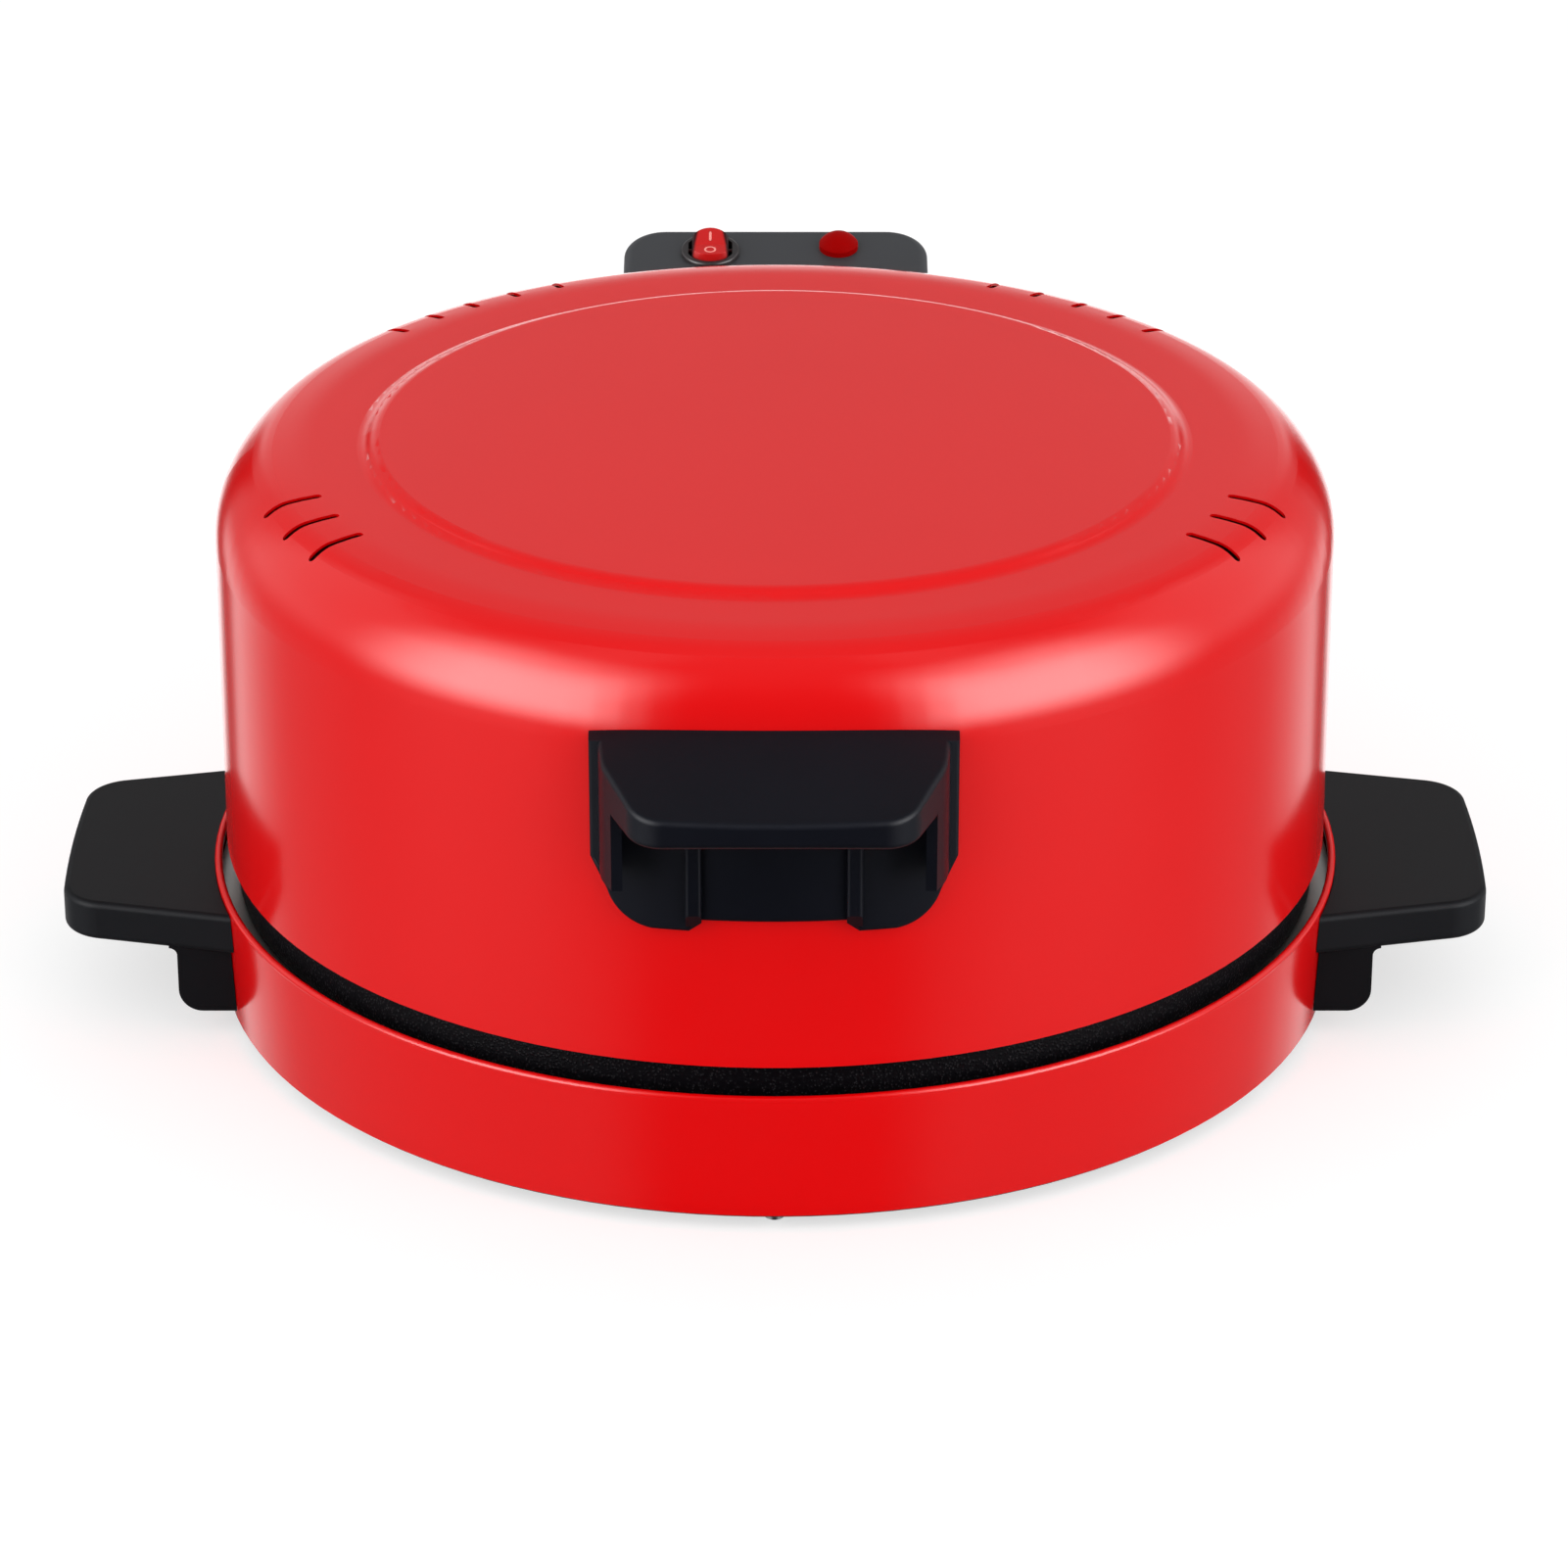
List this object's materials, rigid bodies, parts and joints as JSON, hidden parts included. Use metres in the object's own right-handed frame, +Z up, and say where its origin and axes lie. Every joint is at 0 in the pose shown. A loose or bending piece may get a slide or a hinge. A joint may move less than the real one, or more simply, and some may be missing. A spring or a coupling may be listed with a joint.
{
  "type": "electric pizza oven",
  "caption": "Countertop pizza oven: hinged domed lid over a baking plate in a round base, with grips, a rocker switch and a pilot lamp.",
  "frame": {"origin": "on the table, on the upright axis of the round body", "axes": "+Z up, -Y towards the front handle, +X to the right of someone who stands in front"},
  "size_m": [0.542, 0.5016, 0.2221],
  "materials": {
    "red_paint": "red gloss enamel on pressed steel",
    "black_moulding": "black heat-proof moulding, satin",
    "grey_moulding": "dark grey heat-proof moulding, satin",
    "nonstick": "granular black non-stick coating on cast aluminium",
    "bright_steel": "aluminised steel sheet",
    "black_steel": "black painted steel sheet",
    "zinc_steel": "zinc-plated steel",
    "screw_steel": "plated pan-head screws",
    "element_sheath": "dark oxidised steel tube",
    "ceramic": "unglazed white ceramic",
    "brass": "turned brass",
    "rubber": "black rubber",
    "red_lens": "red translucent plastic",
    "black_plastic": "black switch moulding",
    "white_plastic": "white lamp moulding",
    "lead_sleeve": "white heat-proof sleeving",
    "clear_glass": "clear glass"
  },
  "bodies": {
    "base": {"base_shell": "red_paint", "bottom_cover": "black_steel", "bottom_cover_screws": "screw_steel", "baking_plate": "nonstick", "plate_studs": "zinc_steel", "plate_nuts": "zinc_steel", "plate_brackets": "zinc_steel", "lower_reflector": "bright_steel", "lower_element": "element_sheath", "lower_element_seals": "ceramic", "lower_element_terminals": "zinc_steel", "lower_element_clips": "zinc_steel", "lower_clip_screws": "screw_steel", "plate_thermostat": "ceramic", "terminal_block": "ceramic", "terminal_clamps": "brass", "terminal_block_screw": "screw_steel", "base_leads": "lead_sleeve", "cable_gland": "black_moulding", "side_handle_right": "black_moulding", "side_handle_left": "black_moulding", "side_handle_screws": "screw_steel", "hinge_bracket": "black_moulding", "hinge_bracket_screws": "screw_steel", "hinge_pin": "zinc_steel", "hinge_pin_clips": "zinc_steel", "foot_rear_right": "rubber", "foot_rear_left": "rubber", "foot_front_left": "rubber", "foot_front_right": "rubber"},
    "lid": {"lid_shell": "red_paint", "lid_liner": "bright_steel", "liner_spacers": "zinc_steel", "liner_screws": "screw_steel", "upper_element": "element_sheath", "upper_element_seals": "ceramic", "upper_element_terminals": "zinc_steel", "upper_element_hangers": "zinc_steel", "hanger_rivets": "zinc_steel", "lid_thermostat": "ceramic", "thermal_fuse": "white_plastic", "lid_leads": "lead_sleeve", "front_handle": "black_moulding", "front_handle_screws": "screw_steel", "rear_housing": "grey_moulding", "rear_housing_screws": "screw_steel", "service_cover": "grey_moulding", "service_cover_screws": "screw_steel", "switch_body": "black_plastic", "switch_terminals": "brass", "lamp_lens": "red_lens", "lamp_body": "white_plastic", "lamp_nut": "white_plastic", "neon_lamp": "clear_glass", "lamp_leads": "lead_sleeve"},
    "rocker": {"switch_rocker": "red_lens"}
  },
  "joints": [
    {"name": "lid_hinge", "type": "hinge", "parent": "base", "child": "lid", "pos_m": [0, 0.228, 0.056], "axis": [-1, 0, 0], "range_deg": [0, 95]},
    {"name": "rocker_tilt", "type": "hinge", "parent": "lid", "child": "rocker", "pos_m": [-0.0268, 0.23014, 0.20895], "axis": [-1, 0, 0], "range_deg": [0, 24]}
  ]
}
